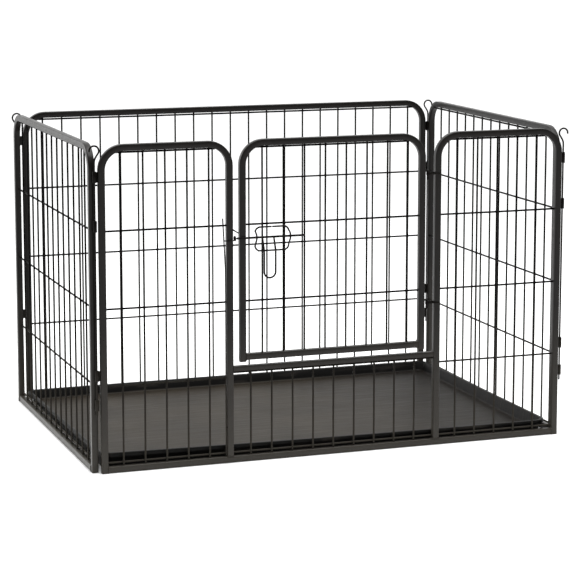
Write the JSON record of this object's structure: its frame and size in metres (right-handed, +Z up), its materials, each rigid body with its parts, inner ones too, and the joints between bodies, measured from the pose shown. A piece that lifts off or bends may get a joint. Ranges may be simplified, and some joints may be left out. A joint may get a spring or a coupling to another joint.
{
  "type": "wire pet playpen",
  "caption": "Black steel wire playpen for pets, with a hinged front door on a sliding bolt, lift-out corner pins and a lift-out plastic floor tray.",
  "frame": {"origin": "centre of the bounding box at floor level, where the bottom rails and the tray stand", "axes": "+X runs along the front from the latch side to the hinge side, +Y runs from the front door panel to the back panel, +Z up"},
  "size_m": [1.2606, 0.8842, 0.8],
  "materials": {
    "coated_tube": "black-brown hammered powder coat on square steel tube, satin sheen",
    "coated_wire": "black powder coat on round steel wire, satin sheen",
    "fittings": "black powder coat over bent and welded wire and barrels",
    "tray_plastic": "dark moulded plastic, semi-matt floor with fine scuffs, glossier rim"
  },
  "bodies": {
    "panels": {"front_bottom_rail": "coated_tube", "front_left_arch": "coated_tube", "front_right_arch": "coated_tube", "door_threshold": "coated_tube", "front_left_mesh": "coated_wire", "front_right_mesh": "coated_wire", "below_door_mesh": "coated_wire", "door_hinge_eye_upper": "fittings", "door_hinge_eye_lower": "fittings", "bolt_keeper": "fittings", "door_stop": "fittings", "back_arch": "coated_tube", "back_bottom_rail": "coated_tube", "back_mesh": "coated_wire", "left_arch": "coated_tube", "left_bottom_rail": "coated_tube", "left_mesh": "coated_wire", "right_arch": "coated_tube", "right_bottom_rail": "coated_tube", "right_mesh": "coated_wire", "front_left_cross_barrel_upper": "fittings", "front_left_cross_barrel_lower": "fittings", "front_left_side_barrel_upper": "fittings", "front_left_side_barrel_lower": "fittings", "front_right_cross_barrel_upper": "fittings", "front_right_cross_barrel_lower": "fittings", "front_right_side_barrel_upper": "fittings", "front_right_side_barrel_lower": "fittings", "back_left_cross_barrel_upper": "fittings", "back_left_cross_barrel_lower": "fittings", "back_left_side_barrel_upper": "fittings", "back_left_side_barrel_lower": "fittings", "back_right_cross_barrel_upper": "fittings", "back_right_cross_barrel_lower": "fittings", "back_right_side_barrel_upper": "fittings", "back_right_side_barrel_lower": "fittings"},
    "door": {"door_arch": "coated_tube", "door_bottom_rail": "coated_tube", "door_mesh": "coated_wire", "door_hinge_hook_upper": "fittings", "door_hinge_hook_lower": "fittings", "bolt_guide": "fittings"},
    "bolt": {"bolt_rod": "fittings"},
    "bolt_handle": {"bolt_handle": "fittings"},
    "tray": {"tray": "tray_plastic"},
    "front_left_pin": {"front_left_pin": "fittings"},
    "front_right_pin": {"front_right_pin": "fittings"},
    "back_left_pin": {"back_left_pin": "fittings"},
    "back_right_pin": {"back_right_pin": "fittings"}
  },
  "joints": [
    {"name": "door_swing", "type": "hinge", "parent": "panels", "child": "door", "pos_m": [0.24261, -0.41386, 0.251], "axis": [0, 0, 1], "range_deg": [0, 110]},
    {"name": "bolt_slide", "type": "slide", "parent": "door", "child": "bolt", "axis": [1, 0, 0], "range_m": [-0.011, 0.035]},
    {"name": "bolt_turn", "type": "hinge", "parent": "bolt", "child": "bolt_handle", "pos_m": [-0.18539, -0.42536, 0.56], "axis": [-1, 0, 0], "range_deg": [0, 120]},
    {"name": "tray_lift", "type": "slide", "parent": "panels", "child": "tray", "axis": [0, 0, 1], "range_m": [0, 0.8]},
    {"name": "front_left_pin_lift", "type": "slide", "parent": "panels", "child": "front_left_pin", "axis": [0, 0, 1], "range_m": [0, 0.6]},
    {"name": "front_right_pin_lift", "type": "slide", "parent": "panels", "child": "front_right_pin", "axis": [0, 0, 1], "range_m": [0, 0.6]},
    {"name": "back_left_pin_lift", "type": "slide", "parent": "panels", "child": "back_left_pin", "axis": [0, 0, 1], "range_m": [0, 0.6]},
    {"name": "back_right_pin_lift", "type": "slide", "parent": "panels", "child": "back_right_pin", "axis": [0, 0, 1], "range_m": [0, 0.6]}
  ]
}
